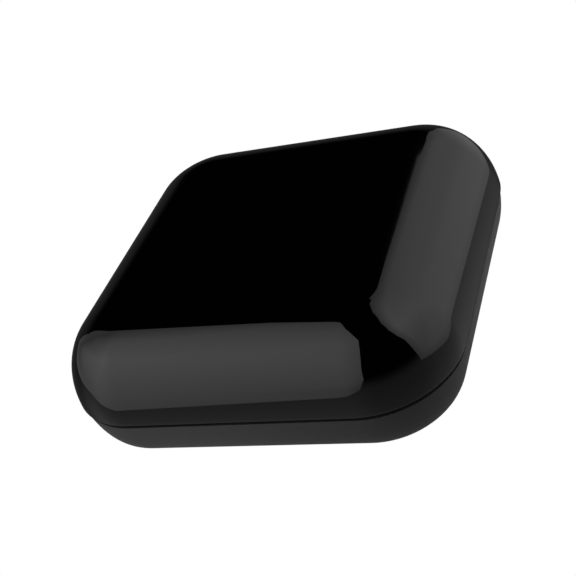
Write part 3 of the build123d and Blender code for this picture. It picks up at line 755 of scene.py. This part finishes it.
def make_cover():
    low = SEAM + SEAM_RISE
    clear = low + EDGE_CLEAR
    outer = [(r, z) for r, z in cover_profile(0.0, 0.0, COVER_STEPS) if z > clear]
    inner = [(r, z) for r, z in cover_profile(COVER_WALL, COVER_ROOF, COVER_INNER_STEPS) if z > clear]
    edge = rounded_edge(
        (CORNER_RADIUS, low), (CORNER_RADIUS - 1, low), (CORNER_RADIUS, low + 1), EDGE_ROUND
    )
    cover = lathe_square("cover", (
        [(outer[-1][0] - FLAT_RING, HEIGHT)] + outer[::-1] + edge[::-1]
        + [(CORNER_RADIUS - COVER_WALL, low)] + inner + [(inner[-1][0] - FLAT_RING, HEIGHT - COVER_ROOF)]
    ))
    # screw bosses and antenna ribs
    boss = [(BOSS_MEET, -BOSS_EASE), (BOSS_MEET + BOSS_EASE, 0.0), (28.5, 0.0)]
    cut(cover, trimmed(rods("fittings", CASE_SCREWS, COVER_BOSS, boss)), "UNION")
    ribs = [box_outline(x, y, 5.0, 1.2, 0.2, 3) for x, y in RIBS]
    cut(cover, trimmed(bars("ribs", ribs, straight(14.6, 22.0))), "UNION")
    cut(cover, rods("pilots", CASE_SCREWS, COVER_PILOT, straight(7.0, 17.0), HOLE_STEPS))
    cut(cover, window_tool())
    finish_piece(cover, "case", GLOSS, ("top_cover",))


def make_base():
    top = SEAM - SEAM_DROP
    outer = base_profile(0.0, 0.0, top, BASE_STEPS)
    inner = base_profile(BASE_WALL, BASE_FLOOR, top, BASE_INNER_STEPS)
    rim = outer[0]
    outer = [(r, z) for r, z in outer if z < top - BASE_EDGE_CLEAR]
    edge = rounded_edge(rim, (rim[0] - 1, rim[1]), (rim[0], rim[1] - 1), BASE_EDGE_ROUND)
    base = lathe_square("base", (
        [(outer[-1][0] - FLAT_RING, FOOT)] + outer[::-1] + edge[::-1]
        + [(inner[0][0], top)] + inner[1:] + [(inner[-1][0] - FLAT_RING, FOOT + BASE_FLOOR)]
    ))
    # the lip stands up behind the open parting line
    far = CORNER_RADIUS - COVER_WALL - LIP_GAP
    near = far - LIP_WALL
    side = LIP_TOP - LIP_EASE
    lip = [
        (far, LIP_FOOT), (far, side), (far - LIP_EASE, LIP_TOP),
        (near + LIP_EASE, LIP_TOP), (near, side), (near, LIP_FOOT)
    ]
    cut(base, lathe_square("lip", lip, closed=True), "UNION")
    boss = [(IN_FLOOR, 0.0), (BOSS_MEET - BOSS_EASE, 0.0), (BOSS_MEET, -BOSS_EASE)]
    cut(base, rods("bosses", CASE_SCREWS, BASE_BOSS, boss), "UNION")
    cut(base, rods("standoffs", BOARD_SCREWS, STANDOFF, straight(IN_FLOOR, BOARD_LEVEL)), "UNION")
    cut(base, rods("board_pilots", BOARD_SCREWS, BOARD_PILOT, straight(1.8, 6.0), HOLE_STEPS))
    # underside: counterbores, screw holes, vents, the label's recess and the foot's groove
    deep = MOUTH + [(FOOT + COUNTERBORE_DEEP, 0.0)]
    cut(base, rods("counterbores", CASE_SCREWS, COUNTERBORE, deep))
    cut(base, rods("screw_holes", CASE_SCREWS, SCREW_HOLE, straight(IN_FLOOR, 9.0), HOLE_STEPS))
    first = (VENTS - 1) / 2
    vents = [box_outline(VENT_PITCH * (k - first), 14.0, 1.4, 15.0, 0.69, 6) for k in range(VENTS)]
    cut(base, bars("vents", vents, MOUTH + [(FOOT + BASE_FLOOR + 0.4, 0.0)]))
    cut(base, bars("label_recess", [LABEL_RECESS], straight(0.2, LABEL_LEVEL)))
    cut(base, lathe_square("groove", GROOVE, closed=True))
    cut(base, window_tool())
    finish_piece(base, "case", MATT, ("base_shell",))


WELD = 0.001             # mm: points of a CAD mesh nearer than this are one
BEVEL_WELD = 0.0005
FLAT_ANGLE = 0.5         # degrees: faces that meet at less are one face
HARD_ANGLE = 40.0        # degrees: edges sharper than this are rounded


def is_closed(work):
    return all(len(edge.link_faces) == 2 for edge in work.edges)


def soften(name, material, width):
    """A copy of a CAD piece with its hard edges rounded off; True when the copy is sound."""
    node = frame["nodes"][name]
    work = bmesh.new()
    work.from_mesh(node.data)
    work.transform(node.matrix_world)
    bmesh.ops.remove_doubles(work, verts=work.verts, dist=WELD * MM)
    bmesh.ops.dissolve_limit(
        work, angle_limit=math.radians(FLAT_ANGLE), verts=work.verts, edges=work.edges, delimit=set()
    )
    sharp = math.radians(HARD_ANGLE)
    hard = [edge for edge in work.edges if edge.is_manifold and edge.calc_face_angle() > sharp]
    bmesh.ops.bevel(
        work, geom=hard, offset=width * MM, offset_type="OFFSET", segments=2, profile=0.5,
        affect="EDGES", clamp_overlap=True
    )
    bmesh.ops.remove_doubles(work, verts=work.verts, dist=BEVEL_WELD * MM)
    sound = is_closed(work)
    if sound:
        mesh = bpy.data.meshes.new(name + "_soft")
        work.to_mesh(mesh)
        piece = new_object(name + "_soft", mesh)
        body = name if name in frame["bodies"] else "case"
        finish_piece(piece, body, material, (name,), smooth_angle=35.0)
    work.free()
    return sound


make_cover()
make_base()
for name, (material, width) in PIECES.items():
    if width and soften(name, material, width):
        continue
    node = frame["nodes"][name]
    node.data.materials.clear()
    node.data.materials.append(material)


scene = bpy.context.scene
scene.view_settings.view_transform = "Standard"
scene.view_settings.look = "None"
scene.view_settings.exposure = 0.0
scene.view_settings.gamma = 1.0
